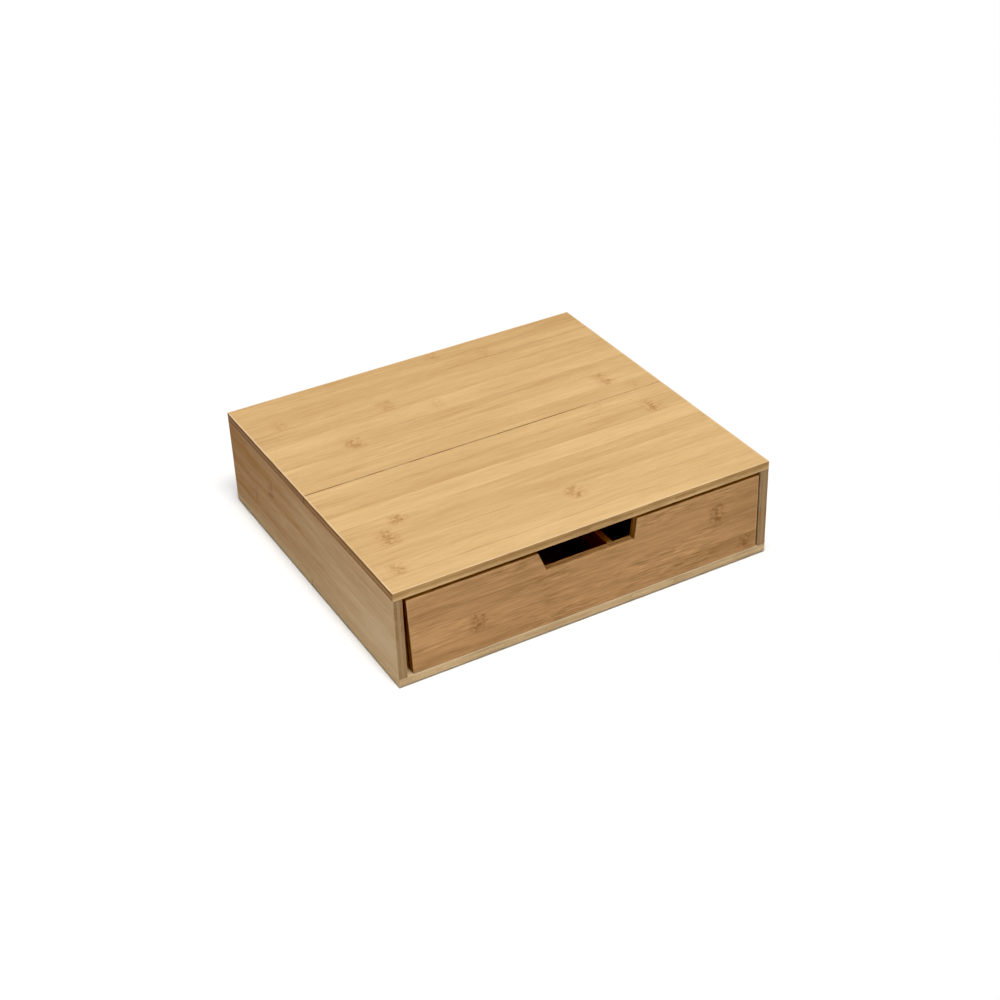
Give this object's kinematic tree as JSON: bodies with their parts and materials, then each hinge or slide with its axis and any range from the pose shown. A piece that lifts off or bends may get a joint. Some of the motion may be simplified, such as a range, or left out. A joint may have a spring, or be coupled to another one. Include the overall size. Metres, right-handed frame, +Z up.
{
  "type": "desk drawer",
  "caption": "Flat bamboo desk case with an inset pull-out drawer, opened by a tapered finger notch in the drawer's front edge.",
  "frame": {"origin": "middle of the base, on the surface that the four pads stand on", "axes": "+X along the front from left to right, the drawer opens towards -Y, +Z up"},
  "size_m": [0.31, 0.283, 0.0805],
  "materials": {
    "bamboo_top": "satin lacquer, flat-pressed bamboo strips",
    "bamboo_front": "satin lacquer, flat-pressed bamboo strips",
    "bamboo_side": "satin lacquer, three-ply bamboo",
    "bamboo_base": "satin lacquer, flat-pressed bamboo strips",
    "bamboo_drawer": "sanded, flat-pressed bamboo strips",
    "bamboo_panel": "sanded thin bamboo plywood",
    "dowel_wood": "raw turned bamboo",
    "screw_steel": "zinc plated",
    "pad_rubber": "matte"
  },
  "bodies": {
    "case": {"top_front_board": "bamboo_top", "top_rear_board": "bamboo_top", "bottom_front_board": "bamboo_base", "bottom_rear_board": "bamboo_base", "left_side": "bamboo_side", "right_side": "bamboo_side", "back_panel": "bamboo_side", "left_side_dowels": "dowel_wood", "right_side_dowels": "dowel_wood", "back_panel_dowels": "dowel_wood", "left_side_screws": "screw_steel", "right_side_screws": "screw_steel", "back_panel_screws": "screw_steel", "front_left_pad": "pad_rubber", "front_right_pad": "pad_rubber", "rear_left_pad": "pad_rubber", "rear_right_pad": "pad_rubber"},
    "drawer": {"drawer_front": "bamboo_front", "drawer_left_side": "bamboo_drawer", "drawer_right_side": "bamboo_drawer", "drawer_back": "bamboo_drawer", "drawer_bottom": "bamboo_panel", "drawer_divider": "bamboo_drawer", "drawer_front_left_dowels": "dowel_wood", "drawer_front_right_dowels": "dowel_wood", "drawer_back_left_dowels": "dowel_wood", "drawer_back_right_dowels": "dowel_wood"}
  },
  "joints": [
    {"name": "drawer_slide", "type": "slide", "parent": "case", "child": "drawer", "axis": [0, -1, 0], "range_m": [0, 0.2]}
  ]
}
